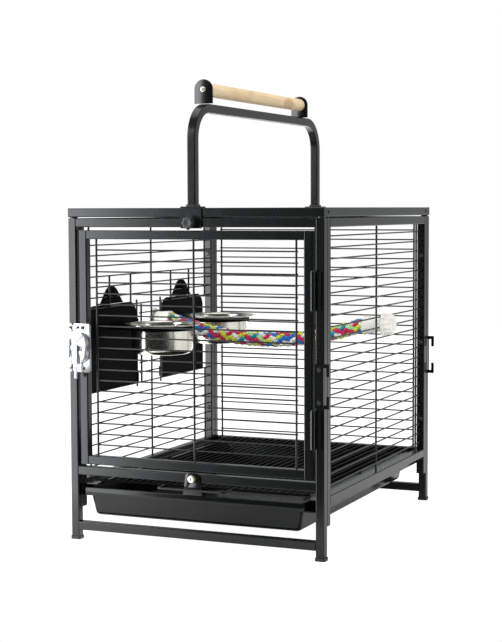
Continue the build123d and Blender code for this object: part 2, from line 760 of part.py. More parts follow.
for side, label in ((-1, "front"), (1, "rear")):
    centre_y = side * feeder_centre
    far_y = side * (hinge_rod_y + feeder_plate_width)
    near_y = side * (hinge_rod_y + knuckle_outer)
    with BuildPart() as feeder_plate:
        with BuildSketch(Plane(origin=(plate_inner_x, 0, 0), x_dir=Y_AXIS, z_dir=X_AXIS)) as plate:
            with Locations(((near_y + far_y) / 2, (feeder_plate_low + feeder_plate_high) / 2)):
                Rectangle(abs(far_y - near_y), feeder_plate_high - feeder_plate_low)
            fillet(plate.vertices().group_by(Axis.Y)[-1], feeder_shoulder)
        extrude(plate.sketch, amount=-feeder_plate_thickness)
        knuckle_low = side_wire_height(feeder_open_below_wire) + wire
        knuckle_high = side_wire_height(feeder_open_above_wire) - wire - feeder_shoulder
        for z in (knuckle_low, knuckle_high - feeder_knuckle_height):
            rod((rod_x, side * hinge_rod_y, z), Z_AXIS, feeder_knuckle_height, knuckle_outer)
            block((plate_outer_x, min(side * hinge_rod_y, near_y + side), z),
                  (plate_inner_x, max(side * hinge_rod_y, near_y + side), z + feeder_knuckle_height))
            rod((rod_x, side * hinge_rod_y, z - 1), Z_AXIS, feeder_knuckle_height + 2,
                feeder_rod / 2 + running_gap, Mode.SUBTRACT)
    save(feeder_plate.part, f"feeder_plate_{label}")

    with BuildPart() as feeder_latch:
        bell_low = feeder_plate_high + bell_gap
        with BuildSketch(Plane(origin=(bell_plane_x, 0, 0), x_dir=Y_AXIS, z_dir=X_AXIS)) as bell:
            with BuildLine():
                foot_a = (centre_y - bell_width / 2, bell_low)
                foot_b = (centre_y + bell_width / 2, bell_low)
                crown = (centre_y, bell_low + bell_height)
                Line(foot_a, foot_b)
                skirt_z = bell_low + bell_height * bell_skirt_rise
                Bezier(foot_b, (centre_y + bell_width * bell_skirt, skirt_z),
                       (centre_y + bell_width * bell_shoulder, bell_low + bell_height), crown)
                Bezier(crown, (centre_y - bell_width * bell_shoulder, bell_low + bell_height),
                       (centre_y - bell_width * bell_skirt, skirt_z), foot_a)
            make_face()
        extrude(bell.sketch, amount=-feeder_plate_thickness)
        stem_z = side_wire_height(guide_top_wire + 2) + wire / 2 + stem_clearance + bell_stem_radius
        button_x = -post_x + wire / 2 + bell_plane_gap
        stem_start = bell_plane_x - weld_gap
        rod((stem_start, centre_y, stem_z), X_AXIS, button_x - stem_start, bell_stem_radius)
        rod((button_x, centre_y, stem_z), X_AXIS, bell_button_thickness, bell_button_radius)
    save(feeder_latch.part, f"feeder_latch_{label}")

    bowl_y = side * bowl_centre
    with BuildPart() as bowl_ring:
        with BuildSketch(Plane.XY.offset(ring_top - ring_height)) as ring:
            with Locations((bowl_x, bowl_y)):
                Circle(ring_inner + ring_thickness)
            for y in (bowl_y - ring_arm_spacing / 2, bowl_y + ring_arm_spacing / 2):
                arm_end = bowl_x - math.sqrt(ring_inner ** 2 - (ring_arm_spacing / 2) ** 2)
                with Locations(((plate_inner_x + arm_end) / 2, y)):
                    Rectangle(arm_end - plate_inner_x, ring_thickness)
            with Locations((plate_inner_x + ring_thickness / 2, bowl_y)):
                Rectangle(ring_thickness, ring_arm_spacing + ring_thickness)
            with Locations((bowl_x, bowl_y)):
                Circle(ring_inner, mode=Mode.SUBTRACT)
        extrude(ring.sketch, amount=ring_height)
    save(bowl_ring.part, f"bowl_ring_{label}")

    with BuildPart() as bowl:
        with BuildSketch(Plane(origin=(bowl_x, bowl_y, 0), x_dir=X_AXIS, z_dir=(0, -1, 0))) as profile:
            with BuildLine():
                base_z = bowl_rim_z - bowl_depth
                lip_z = bowl_rim_z - bowl_rim_drop
                Line((0, base_z), (bowl_body_radius - bowl_corner, base_z))
                bend_z = base_z + bowl_corner
                bore = bowl_body_radius - bowl_wall
                flat = bowl_body_radius - bowl_corner
                RadiusArc((flat, base_z), (bowl_body_radius, bend_z), -bowl_corner)
                Polyline((bowl_body_radius, bend_z), (bowl_body_radius, lip_z), (bowl_rim_radius, lip_z),
                         (bowl_rim_radius, bowl_rim_z), (bore, bowl_rim_z), (bore, bend_z))
                RadiusArc((bore, bend_z), (flat, base_z + bowl_wall), bowl_corner - bowl_wall)
                Polyline((flat, base_z + bowl_wall), (0, base_z + bowl_wall), (0, base_z))
            make_face()
        revolve(profile.sketch, axis=Axis((bowl_x, bowl_y, 0), Z_AXIS))
    save(bowl.part, f"bowl_{label}")

# ---- Rope perch between the side walls, held by a ribbed nut outside each wall.
perch_z = side_wire_height(perch_above_wire) + wire / 2 + perch_rest_gap + perch_bolt_radius
main_bend = perch_half_length - perch_end_bend * (math.sin(math.radians(perch_slope))
                                                  - math.sin(math.radians(perch_end_angle)))
main_bend = main_bend / math.sin(math.radians(perch_slope))
wall_inside = post_x - wire / 2
wall_outside = post_x + wire / 2
nut_face = wall_outside + ride_gap
nut_end = nut_face + nut_length

with BuildPart() as perch_rope:
    tilt = math.radians(perch_end_angle)
    with BuildLine(Plane(origin=(0, perch_y, 0), x_dir=X_AXIS, z_dir=(0, -1, 0))) as perch_path:
        first = JernArc((-perch_half_length, perch_z), (math.cos(tilt), -math.sin(tilt)), perch_end_bend,
                        perch_end_angle - perch_slope)
        middle_arc = JernArc(first @ 1, first % 1, main_bend, 2 * perch_slope)
        JernArc(middle_arc @ 1, middle_arc % 1, perch_end_bend, perch_end_angle - perch_slope)
    with BuildSketch(Plane(origin=perch_path.line @ 0, z_dir=perch_path.line % 0)) as rope_section:
        Circle(perch_radius)
    sweep(rope_section.sketch, path=perch_path.line)
save(perch_rope.part, "perch_rope")

with BuildPart() as perch_caps:
    for side in (-1, 1):
        start = perch_half_length + perch_radius * math.sin(tilt) + cap_gap
        with BuildSketch(Plane(origin=(side * start, perch_y, perch_z), z_dir=(side, 0, 0))) as big:
            Circle(cap_big_radius)
        end = side * (wall_inside - cap_gap / 2)
        with BuildSketch(Plane(origin=(end, perch_y, perch_z), z_dir=(side, 0, 0))) as small:
            Circle(cap_small_radius)
        loft([big.sketch, small.sketch])
        bolt_start = start + perch_bolt_sink
        hole_start = (side * bolt_start, perch_y, perch_z)
        rod(hole_start, (side, 0, 0), wall_inside, perch_bolt_radius, Mode.SUBTRACT)
save(perch_caps.part, "perch_caps")

with BuildPart() as perch_bolts:
    for side in (-1, 1):
        perch_bolt_length = nut_end - perch_bolt_end - bolt_start
        rod((side * bolt_start, perch_y, perch_z), (side, 0, 0), perch_bolt_length, perch_bolt_radius)
save(perch_bolts.part, "perch_bolts")

for side, label in ((-1, "left"), (1, "right")):
    with BuildPart() as perch_nut:
        rod((side * nut_face, perch_y, perch_z), (side, 0, 0), nut_flange, nut_radius)
        rod((side * nut_face, perch_y, perch_z), (side, 0, 0), nut_length, nut_grip_radius)
        for i in range(nut_rib_count):
            angle = 2 * math.pi * i / nut_rib_count
            spot = (side * nut_face, perch_y + nut_grip_radius * math.cos(angle),
                    perch_z + nut_grip_radius * math.sin(angle))
            rod(spot, (side, 0, 0), nut_length - nut_rib_stop, nut_rib_radius)
        rod((side * (nut_face - 1), perch_y, perch_z), (side, 0, 0), nut_length + 1 - nut_end_wall,
            perch_bolt_radius + running_gap, Mode.SUBTRACT)
    save(perch_nut.part, f"perch_nut_{label}")

# ---- Handle: bent tube with a foot plate on each end rail, and a wooden grip above its bar.
bar_z = arm_top_z - half_tube
collar_base = body_height + foot_plate_thickness
with BuildPart() as handle_tube:
    with BuildLine(Plane.YZ) as arm_path:
        FilletPolyline((-post_y, collar_base), (-post_y, bar_z), (post_y, bar_z), (post_y, collar_base),
                       radius=handle_bend)
    with BuildSketch(Plane(origin=arm_path.line @ 0, x_dir=X_AXIS, z_dir=Z_AXIS)) as arm_section:
        RectangleRounded(tube, tube, tube_corner)
        Rectangle(tube - 2 * tube_wall, tube - 2 * tube_wall, mode=Mode.SUBTRACT)
    sweep(arm_section.sketch, path=arm_path.line)
save(handle_tube.part, "handle_tube")

with BuildPart() as handle_feet:
    for end in (-1, 1):
        outer = end * (half_depth + foot_plate_thickness)
        face = end * half_depth
        inner = end * inner_y
        half = foot_plate_width / 2
        block((-half, min(outer, face), foot_plate_low), (half, max(outer, face), collar_base))
        block((-half, min(outer, inner), body_height), (half, max(outer, inner), collar_base))
        with BuildSketch(Plane.XY.offset(collar_base)) as collar:
            with Locations((0, end * post_y)):
                RectangleRounded(foot_collar, tube + 2 * foot_collar_skin, tube_corner)
                RectangleRounded(tube + 2 * weld_gap, tube + 2 * weld_gap, tube_corner, mode=Mode.SUBTRACT)
        extrude(collar.sketch, amount=foot_collar_height, taper=foot_collar_draft)
        rod((0, end * inner_y, knob_z), (0, end, 0), tube * 2, knob_shank_radius + running_gap, Mode.SUBTRACT)
save(handle_feet.part, "handle_feet")

grip_z = arm_top_z + grip_height
with BuildPart() as grip_plates:
    for y in (grip_front_y, grip_back_y):
        back = y + grip_plate_thickness / 2
        with BuildSketch(Plane(origin=(0, back, 0), x_dir=X_AXIS, z_dir=(0, -1, 0))) as plate:
            with Locations((0, grip_z)):
                Circle(grip_plate_width / 2)
            with Locations((0, (grip_z + arm_top_z) / 2)):
                Rectangle(grip_plate_width, grip_z - arm_top_z)
        extrude(plate.sketch, amount=grip_plate_thickness)
save(grip_plates.part, "grip_plates")

grip_start = grip_front_y + grip_plate_thickness / 2
grip_end = grip_back_y - grip_plate_thickness / 2
with BuildPart() as wooden_grip:
    rod((0, grip_start, grip_z), Y_AXIS, grip_end - grip_start, grip_radius)
    chamfer(wooden_grip.edges().filter_by(GeomType.CIRCLE), grip_end_chamfer)
save(wooden_grip.part, "wooden_grip")

with BuildPart() as grip_screws:
    for y, end in ((grip_front_y, -1), (grip_back_y, 1)):
        seat = (0, y + end * grip_plate_thickness / 2, grip_z)
        dome_head(seat, (0, end, 0), grip_screw_radius, grip_screw_height)
save(grip_screws.part, "grip_screws")

knob_base = half_depth + foot_plate_thickness + knob_gap
for end, label in ((-1, "front"), (1, "rear")):
    with BuildPart() as handle_bolt:
        rod((0, end * knob_base, knob_z), (0, end, 0), knob_washer_height, knob_washer_radius)
        rod((0, end * knob_base, knob_z), (0, -end, 0), knob_shank_depth, knob_shank_radius)
    save(handle_bolt.part, f"handle_bolt_{label}")

    with BuildPart() as handle_knob:
        knob_face = end * (knob_base + knob_washer_height)
        rod((0, knob_face, knob_z), (0, end, 0), knob_length, knob_radius)
        knob_rim = handle_knob.edges().group_by(Axis.Y)[0 if end < 0 else -1]
        fillet(knob_rim, knob_edge)
        for i in range(knob_flute_count):
            angle = 2 * math.pi * i / knob_flute_count
            reach = knob_radius + knob_flute_radius - knob_flute_depth
            spot = (reach * math.cos(angle), knob_face, knob_z + reach * math.sin(angle))
            rod(spot, (0, end, 0), knob_length, knob_flute_radius, Mode.SUBTRACT)
    save(handle_knob.part, f"handle_knob_{label}")

# ---- Hook plates for a seat belt, on the front and back of the right posts.
with BuildPart() as belt_hooks:
    for end in (-1, 1):
        with BuildSketch(Plane(origin=(0, end * half_depth, 0), x_dir=X_AXIS, z_dir=(0, -1, 0))) as hook:
            outer = half_width + hook_reach
            with Locations(((inner_x + half_width) / 2, (hook_low + hook_high) / 2)):
                Rectangle(tube, hook_high - hook_low)
            for tip in (hook_low, hook_high):
                inward = 1 if tip == hook_low else -1
                with Locations(((half_width + outer) / 2, tip + inward * hook_arm / 2)):
                    Rectangle(hook_reach, hook_arm)
                with Locations((outer - hook_tip_width / 2, tip + inward * hook_return / 2)):
                    Rectangle(hook_tip_width, hook_return)
        extrude(hook.sketch, amount=-end * hook_plate_thickness)
save(belt_hooks.part, "belt_hooks")

with BuildPart() as hook_screws:
    for end in (-1, 1):
        for z in (hook_low + hook_screw_inset, hook_high - hook_screw_inset):
            seat = end * (half_depth + hook_plate_thickness)
            dome_head((post_x, seat, z), (0, end, 0), screw_head_radius, screw_head_height)
save(hook_screws.part, "hook_screws")
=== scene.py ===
import json
import math
import bpy
import bmesh
from mathutils import Matrix, Vector


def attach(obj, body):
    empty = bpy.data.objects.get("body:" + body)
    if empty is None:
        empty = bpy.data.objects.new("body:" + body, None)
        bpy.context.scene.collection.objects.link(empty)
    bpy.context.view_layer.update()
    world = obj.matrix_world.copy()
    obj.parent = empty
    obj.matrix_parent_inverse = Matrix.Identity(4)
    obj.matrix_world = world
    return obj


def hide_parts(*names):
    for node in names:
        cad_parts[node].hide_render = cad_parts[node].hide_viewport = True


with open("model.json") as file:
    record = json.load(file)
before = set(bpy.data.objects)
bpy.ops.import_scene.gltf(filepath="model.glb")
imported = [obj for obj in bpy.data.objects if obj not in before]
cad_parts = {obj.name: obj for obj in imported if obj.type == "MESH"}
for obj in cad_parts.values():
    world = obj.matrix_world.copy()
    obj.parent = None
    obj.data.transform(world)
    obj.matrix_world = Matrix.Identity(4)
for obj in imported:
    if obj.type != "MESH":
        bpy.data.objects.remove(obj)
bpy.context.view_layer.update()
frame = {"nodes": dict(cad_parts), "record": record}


# the camera

view = {
    "place": (0.91506, -2.16471, 0.47982), "yaw": 23.2626, "pitch": -4.1933, "roll": -0.2033,
    "lens": 85.49, "sensor": 36.0, "nearest": 0.05,
}


def placeCamera():
    data = bpy.data.cameras.new("camera")
    data.lens = view["lens"]
    data.sensor_width = view["sensor"]
    data.clip_start = view["nearest"]
    camera = bpy.data.objects.new("camera", data)
    turn = Matrix.Rotation(math.radians(view["yaw"]), 4, "Z")
    turn = turn @ Matrix.Rotation(math.radians(90 + view["pitch"]), 4, "X")
    turn = turn @ Matrix.Rotation(math.radians(view["roll"]), 4, "Z")
    camera.matrix_world = Matrix.Translation(view["place"]) @ turn
    bpy.context.scene.collection.objects.link(camera)
    bpy.context.scene.camera = camera


placeCamera()
bpy.context.scene.view_settings.view_transform = "Standard"
print("camera placed")


# shader writing: a socket that does arithmetic, and a net that adds nodes

class Signal:
    def __init__(self, net, socket):
        self.net = net
        self.socket = socket

    def maths(self, operation, first, second=0.5):
        return self.net.add("ShaderNodeMath", {"operation": operation}, {0: first, 1: second})

    def __add__(self, other):
        return self.maths("ADD", self, other)

    def __radd__(self, other):
        return self.maths("ADD", other, self)

    def __sub__(self, other):
        return self.maths("SUBTRACT", self, other)

    def __rsub__(self, other):
        return self.maths("SUBTRACT", other, self)

    def __mul__(self, other):
        return self.maths("MULTIPLY", self, other)

    def __rmul__(self, other):
        return self.maths("MULTIPLY", other, self)

    def wave(self):
        return self.maths("SINE", self)

    def ease(self, low, high):
        settings = {"interpolation_type": "SMOOTHSTEP", "clamp": True}
        span = {"Value": self, "From Min": low, "From Max": high}
        return self.net.add("ShaderNodeMapRange", settings, span)


class Net:
    def __init__(self, tree):
        self.tree = tree

    def put(self, socket, value):
        if isinstance(value, Signal):
            self.tree.links.new(value.socket, socket)
        elif socket.type == "RGBA":
            socket.default_value = (*value, 1)
        else:
            socket.default_value = value

    def add(self, kind, settings=None, inputs=None, out=0):
        node = self.tree.nodes.new(kind)
        for name, value in (settings or {}).items():
            setattr(node, name, value)
        for name, value in (inputs or {}).items():
            self.put(node.inputs[name], value)
        return Signal(self, node.outputs[out])

    def place(self, stretch=(1, 1, 1)):
        where = self.add("ShaderNodeTexCoord", out="Object")
        return self.add("ShaderNodeMapping", {}, {"Vector": where, "Scale": stretch})

    def along(self, where, axis):
        return self.add("ShaderNodeSeparateXYZ", {}, {0: where}, out=axis)

    def noise(self, where, scale, detail=3.0, rough=0.5):
        sizes = {"Vector": where, "Scale": scale, "Detail": detail, "Roughness": rough}
        return self.add("ShaderNodeTexNoise", {}, sizes)

    def mix(self, factor, first, second):
        return self.add("ShaderNodeMix", {"data_type": "RGBA"}, {0: factor, 6: first, 7: second}, out=2)

    def bump(self, height, strength, distance):
        return self.add("ShaderNodeBump", {}, {"Height": height, "Strength": strength, "Distance": distance})


def newFinish(name, **fixed):
    material = bpy.data.materials.new(name)
    material.use_nodes = True
    shader = material.node_tree.nodes["Principled BSDF"]
    net = Net(material.node_tree)
    for key, value in fixed.items():
        net.put(shader.inputs[key.replace("_", " ")], value)
    return material, shader, net


# painted steel: dark satin powder coat with a faint orange peel and a little dust

powder = {
    "dust": (0.011, 0.0120, 0.0125), "dustNoise": (55.0, 4.0, 0.6),
    "dustEdge": (0.55, 0.85), "dustShare": 0.10,
    "peelNoise": (700.0, 2.0, 0.5), "peelStrength": 0.25, "peelDepth": 0.00005, "haze": 0.06,
}


def powderCoat(name, colour, roughness, shine=0.5):
    material, shader, net = newFinish(name, Specular_IOR_Level=shine)
    where = net.place()
    cloud = net.noise(where, *powder["dustNoise"])
    fine = net.noise(where, *powder["peelNoise"])
    dusty = cloud.ease(*powder["dustEdge"]) * powder["dustShare"]
    net.put(shader.inputs["Base Color"], net.mix(dusty, colour, powder["dust"]))
    net.put(shader.inputs["Roughness"], cloud * powder["haze"] + (roughness - powder["haze"] / 2))
    net.put(shader.inputs["Normal"], net.bump(fine, powder["peelStrength"], powder["peelDepth"]))
    return material


# moulded plastics

plastic = {
    "cloudNoise": (30.0, 3.0, 0.55), "cloudEdge": (0.4, 0.8), "cloudShare": 0.5,
    "cloudGain": 1.4, "cloudLift": 0.001,
    "grainNoise": (900.0, 2.0, 0.6), "grainDepth": 0.00008,
}
milky = {
    "cloudNoise": (60.0, 3.0, 0.5), "cloudEdge": (0.45, 0.8), "shade": 0.9, "roughness": 0.34, "haze": 0.08,
    "grainNoise": (500.0, 3.0, 0.5), "grainStrength": 0.12, "grainDepth": 0.0001,
    "glowReach": (0.6, 0.6, 0.5), "glowScale": 0.006,
}


def mouldedPlastic(name, colour, roughness, grain, haze=0.05, shine=0.5):
    material, shader, net = newFinish(name, Specular_IOR_Level=shine)
    where = net.place()
    cloud = net.noise(where, *plastic["cloudNoise"])
    fine = net.noise(where, *plastic["grainNoise"])
    lighter = tuple(c * plastic["cloudGain"] + plastic["cloudLift"] for c in colour)
    patches = cloud.ease(*plastic["cloudEdge"]) * plastic["cloudShare"]
    net.put(shader.inputs["Base Color"], net.mix(patches, colour, lighter))
    net.put(shader.inputs["Roughness"], cloud * haze + (roughness - haze / 2))
    net.put(shader.inputs["Normal"], net.bump(fine, grain, plastic["grainDepth"]))
    return material


def whitePlastic(name, colour, glow):
    reach, scale = milky["glowReach"], milky["glowScale"]
    material, shader, net = newFinish(
        name, Subsurface_Weight=glow, Subsurface_Radius=reach, Subsurface_Scale=scale)
    where = net.place()
    cloud = net.noise(where, *milky["cloudNoise"])
    shade = tuple(c * milky["shade"] for c in colour)
    grain = net.noise(where, *milky["grainNoise"])
    net.put(shader.inputs["Base Color"], net.mix(cloud.ease(*milky["cloudEdge"]), colour, shade))
    net.put(shader.inputs["Roughness"], cloud * milky["haze"] + milky["roughness"])
    net.put(shader.inputs["Normal"], net.bump(grain, milky["grainStrength"], milky["grainDepth"]))
    return material


# bright metals

metal = {
    "brushNoise": (220.0, 3.0, 0.6), "brushStrength": 0.01, "brushDepth": 0.0001, "brushHaze": 0.04,
    "cloudNoise": (60.0, 4.0, 0.6), "cloudEdge": (0.5, 0.85), "cloudHaze": 0.06, "dim": 0.72,
}


def plate(name, colour, roughness, stretch=(1, 1, 1)):
    material, shader, net = newFinish(name, Metallic=1.0)
    fine = net.noise(net.place(stretch), *metal["brushNoise"])
    cloud = net.noise(net.place(stretch), *metal["cloudNoise"])
    dim = tuple(c * metal["dim"] for c in colour)
    haze = cloud * metal["cloudHaze"] + fine * metal["brushHaze"]
    smoothest = roughness - (metal["cloudHaze"] + metal["brushHaze"]) / 2
    # darker patches of random tone; with an upright stretch they become painted reflection bands
    net.put(shader.inputs["Base Color"], net.mix(cloud.ease(*metal["cloudEdge"]), colour, dim))
    net.put(shader.inputs["Roughness"], haze + smoothest)
    net.put(shader.inputs["Normal"], net.bump(fine, metal["brushStrength"], metal["brushDepth"]))
    return material


# light hardwood with long grain, soft blotches and a few small knots

wood = {
    "pale": (0.83, 0.64, 0.39), "honey": (0.70, 0.50, 0.27), "knot": (0.44, 0.27, 0.12),
    "grain": (480.0, 9.0, 480.0), "grainNoise": (1.0, 6.0, 0.62), "grainEdge": (0.3, 0.75),
    "grainStrength": 0.25, "grainDepth": 0.0004, "grainHaze": 0.15, "roughness": 0.42,
    "blotch": (30.0, 16.0, 30.0), "blotchNoise": (1.0, 3.0, 0.5),
    "blotchEdge": (0.48, 0.72), "blotchShare": 0.75,
    "knots": (24.0, 11.0, 24.0), "knotNoise": (1.0, 1.0, 0.4), "knotEdge": (0.64, 0.76), "knotShare": 0.65,
    "lacquer": 0.12, "lacquerRoughness": 0.35,
}


def lightWood(name):
    material, shader, net = newFinish(
        name, Coat_Weight=wood["lacquer"], Coat_Roughness=wood["lacquerRoughness"])
    grain = net.noise(net.place(wood["grain"]), *wood["grainNoise"])
    blotch = net.noise(net.place(wood["blotch"]), *wood["blotchNoise"])
    knot = net.noise(net.place(wood["knots"]), *wood["knotNoise"])
    base = net.mix(grain.ease(*wood["grainEdge"]), wood["pale"], wood["honey"])
    base = net.mix(blotch.ease(*wood["blotchEdge"]) * wood["blotchShare"], base, wood["honey"])
    base = net.mix(knot.ease(*wood["knotEdge"]) * wood["knotShare"], base, wood["knot"])
    net.put(shader.inputs["Base Color"], base)
    net.put(shader.inputs["Roughness"], grain * wood["grainHaze"] + wood["roughness"])
    net.put(shader.inputs["Normal"], net.bump(grain, wood["grainStrength"], wood["grainDepth"]))
    return material


finishes = {
    "powder_coat": powderCoat("powderCoat", (0.0021, 0.0027, 0.0028), roughness=0.22),
    "wire_coat": powderCoat("wireCoat", (0.0030, 0.0037, 0.0040), roughness=0.34),
    "feeder_coat": powderCoat("feederCoat", (0.0014, 0.0020, 0.0014), roughness=0.42, shine=0.02),
    "floor_coat": powderCoat("floorCoat", (0.0016, 0.0021, 0.0021), roughness=0.40, shine=0.06),
    "black_plastic": mouldedPlastic("blackPlastic", (0.010, 0.011, 0.012), roughness=0.42, grain=0.4),
    "tray_plastic": mouldedPlastic(
        "trayPlastic", (0.0024, 0.0036, 0.0022), roughness=0.15, grain=0.08, haze=0.04, shine=0.32),
    "chrome": plate("nickelPlate", (0.80, 0.82, 0.85), roughness=0.30),
    "screw_steel": plate("screwSteel", (0.42, 0.43, 0.46), roughness=0.24),
    "satin_nickel": plate("satinNickel", (0.90, 0.86, 0.76), roughness=0.50),
    "dark_steel": powderCoat("darkSteel", (0.02, 0.022, 0.024), roughness=0.30),
    # the upright stretch draws the darker patches into upright bands: painted reflection bands on the bowls
    "stainless": plate("spunSteel", (0.80, 0.79, 0.71), roughness=0.20, stretch=(1, 1, 0.04)),
    "white_plastic": whitePlastic("whitePlastic", (0.86, 0.85, 0.79), glow=0.3),
    "wood_grip": lightWood("lightWood"),
    "rope": whitePlastic("ropeCore", (0.4, 0.4, 0.2), glow=0.0),  # until the rope is braided
}


def dressNodes():
    for row in frame["record"]["subparts"]:
        node = frame["nodes"][row["node"]]
        node.data.materials.clear()
        node.data.materials.append(finishes[row["material_slot"]])
    frame["nodes"]["grate"].data.materials[0] = finishes["floor_coat"]


dressNodes()
print("nodes dressed")


# shared ways of making a piece

weldDistance = 1e-6
seamDistance = 1e-7
# an edge that turns by more than this many degrees is drawn sharp
sharpOver = {"soft": 60.0, "turned": 50.0, "cast": 40.0, "cut": 35.0}


def boxOf(name):
    corners = [Vector(c) for c in frame["nodes"][name].bound_box]
    low = Vector([min(c[i] for c in corners) for i in range(3)])
    high = Vector([max(c[i] for c in corners) for i in range(3)])
    return low, high


def copyOf(name):
    # the node's own mesh, with the corners that its faces share made one
    bm = bmesh.new()
    bm.from_mesh(frame["nodes"][name].data)
    bmesh.ops.remove_doubles(bm, verts=bm.verts, dist=weldDistance)
    return bm


def finishPiece(name, bm, material, body, node, sharp, outward=True):
    if outward:
        bmesh.ops.recalc_face_normals(bm, faces=bm.faces)
    for face in bm.faces:
        face.smooth = True
    for edge in bm.edges:
        edge.smooth = not edge.is_manifold or edge.calc_face_angle(0) < math.radians(sharp)
    mesh = bpy.data.meshes.new(name)
    bm.to_mesh(mesh)
    bm.free()
    piece = bpy.data.objects.new(name, mesh)
    bpy.context.scene.collection.objects.link(piece)
    mesh.materials.append(material)
    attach(piece, body)
    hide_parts(node)


def wrapStrip(bm, columns, rows, shape):
    # a grid whose two long sides meet, so that it closes into a tube
    made = bmesh.ops.create_grid(bm, x_segments=columns, y_segments=rows, size=0.5, calc_uvs=True)["verts"]
    for vert in made:
        vert.co = shape(vert.co.x + 0.5, vert.co.y + 0.5)
    bmesh.ops.remove_doubles(bm, verts=made, dist=seamDistance)
    return [vert for vert in made if vert.is_valid]


def closeEnds(bm):
    loose = [edge for edge in bm.edges if edge.is_boundary]
    bmesh.ops.holes_fill(bm, edges=loose)


def turned(bm, centre, axis, profile, rows, lobes):
    # spins a profile of (along, radius, lobe depth) about an axis, with the radius waving around it
    along = Vector(axis).normalized()
    side = along.orthogonal().normalized()
    other = along.cross(side)

    def shape(u, v):
        reach, radius, depth = profile[round(u * (len(profile) - 1))]
        turn = 2 * math.pi * v
        radius += depth * math.cos(lobes * turn)
        return Vector(centre) + along * reach + (side * math.cos(turn) + other * math.sin(turn)) * radius

    wrapStrip(bm, len(profile) - 1, rows, shape)


# braided rope perch: seven strands wound each way, over one and under one

rope = {
    "y": 0.020, "z": 0.3035, "halfLength": 0.162, "endAngle": 7.0, "slope": 17.8, "endBend": 0.070,
    "perWay": 7, "pitch": 0.150, "radius": 0.0082, "swell": 0.0013,
    "width": 0.0094, "thick": 0.0044, "steps": 236, "sides": 10, "core": 0.0072, "capDrop": 0.00245,
    "lime": (0.62, 0.66, 0.03), "berry": (0.55, 0.006, 0.090), "blue": (0.006, 0.14, 0.50),
    "white": (0.82, 0.82, 0.76), "mint": (0.46, 0.70, 0.30), "teal": (0.004, 0.26, 0.36),
    "one": ["lime", "berry", "white", "blue", "lime", "berry", "teal"],
    "other": ["white", "blue", "berry", "lime", "white", "berry", "mint"],
    "flatness": 2.6, "finer": 8, "coreSides": 12, "coreColour": (0.25, 0.25, 0.22),
}
yarn = {
    # the groove colour is painted shade: it darkens the yarn in the creases of its twist
    "twist": 46.0, "count": 3, "grooveEdge": (-1.0, -0.2), "grooveShade": (0.45, 0.45, 0.45), "grooveShadeShare": 0.75,
    "fuzzNoise": (900.0, 3.0, 0.6), "fuzzEdge": (0.55, 0.8), "fuzzShare": 0.25, "fuzz": (0.8, 0.8, 0.76),
    "roughness": 0.66, "haze": 0.2, "sheen": 0.25, "shine": 0.25,
    "reliefShare": 0.6, "reliefStrength": 0.7, "reliefDepth": 0.0005,
}


def ropeRoute():
    # points and headings along the rope, in the upright plane it hangs in
    bend = rope["endBend"]
    slope, tilt = math.radians(rope["slope"]), math.radians(rope["endAngle"])
    middle = (rope["halfLength"] - bend * (math.sin(slope) - math.sin(tilt))) / math.sin(slope)
    first, second = bend * (slope - tilt), middle * 2 * slope
    total = 2 * first + second
    finer = rope["finer"]
    count = rope["steps"] * finer
    x, z, route = -rope["halfLength"], rope["z"], []
    for i in range(count + 1):
        s = total * i / count
        if s < first:
            heading = -tilt - s / bend
        elif s < first + second:
            heading = -slope + (s - first) / middle
        else:
            heading = slope - (s - first - second) / bend
        if i % finer == 0:
            route.append((x, z, heading, s))
        x += math.cos(heading) * total / count
        z += math.sin(heading) * total / count
    return route


def ropeMaterial():
    material, shader, net = newFinish(
        "braidedYarn", Sheen_Weight=yarn["sheen"], Specular_IOR_Level=yarn["shine"])
    tint = net.add("ShaderNodeAttribute", {"attribute_name": "strand"}, out="Color")
    unrolled = net.add("ShaderNodeUVMap")
    turns = net.along(unrolled, "X") * (yarn["twist"] * 2 * math.pi)
    relief = (turns + net.along(unrolled, "Y") * (yarn["count"] * 2 * math.pi)).wave()
    fuzz = net.noise(net.place(), *yarn["fuzzNoise"])
    # painted shade: the tint is darkened where the twist relief dips into a groove
    shade = net.mix(relief.ease(*yarn["grooveEdge"]), yarn["grooveShade"], (1, 1, 1))
    settings = {"data_type": "RGBA", "blend_type": "MULTIPLY"}
    dark = net.add("ShaderNodeMix", settings, {0: yarn["grooveShadeShare"], 6: tint, 7: shade}, out=2)
    pale = net.mix(fuzz.ease(*yarn["fuzzEdge"]) * yarn["fuzzShare"], dark, yarn["fuzz"])
    height = relief * yarn["reliefShare"] + fuzz * yarn["reliefShare"]
    net.put(shader.inputs["Base Color"], pale)
    net.put(shader.inputs["Roughness"], fuzz * yarn["haze"] + yarn["roughness"])
    net.put(shader.inputs["Normal"], net.bump(height, yarn["reliefStrength"], yarn["reliefDepth"]))
    return material


def turnedOut(step, angle):
    # the rope's centre at a step, its heading, and the way out of it at an angle about it
    x, z, heading, s = step
    along = Vector((math.cos(heading), 0, math.sin(heading)))
    up = Vector((-math.sin(heading), 0, math.cos(heading)))
    return Vector((x, rope["y"], z)), along, up * math.cos(angle) + Vector((0, 1, 0)) * math.sin(angle)


def strandShape(route, way, start):
    lean = math.atan(2 * math.pi * rope["radius"] / rope["pitch"])
    crossings = 2 * math.pi * rope["perWay"] / rope["pitch"]

    def shape(u, v):
        step = route[round(u * rope["steps"])]
        travel, around = step[3], 2 * math.pi * v
        centre, along, out = turnedOut(step, start + way * 2 * math.pi * travel / rope["pitch"])
        reach = rope["radius"] + way * rope["swell"] * math.cos(crossings * travel)
        run = along * math.cos(lean) + out.cross(along) * (-way * math.sin(lean))
        aside = rope["width"] / 2 * math.cos(around)
        lift = rope["thick"] / 2 * math.sin(around) - aside * aside / (rope["flatness"] * reach)
        return centre + out * (reach + lift) + run.cross(out).normalized() * aside

    return shape


def coreShape(route):
    def shape(u, v):
        centre, along, out = turnedOut(route[round(u * rope["steps"])], 2 * math.pi * v)
        return centre + out * rope["core"]

    return shape


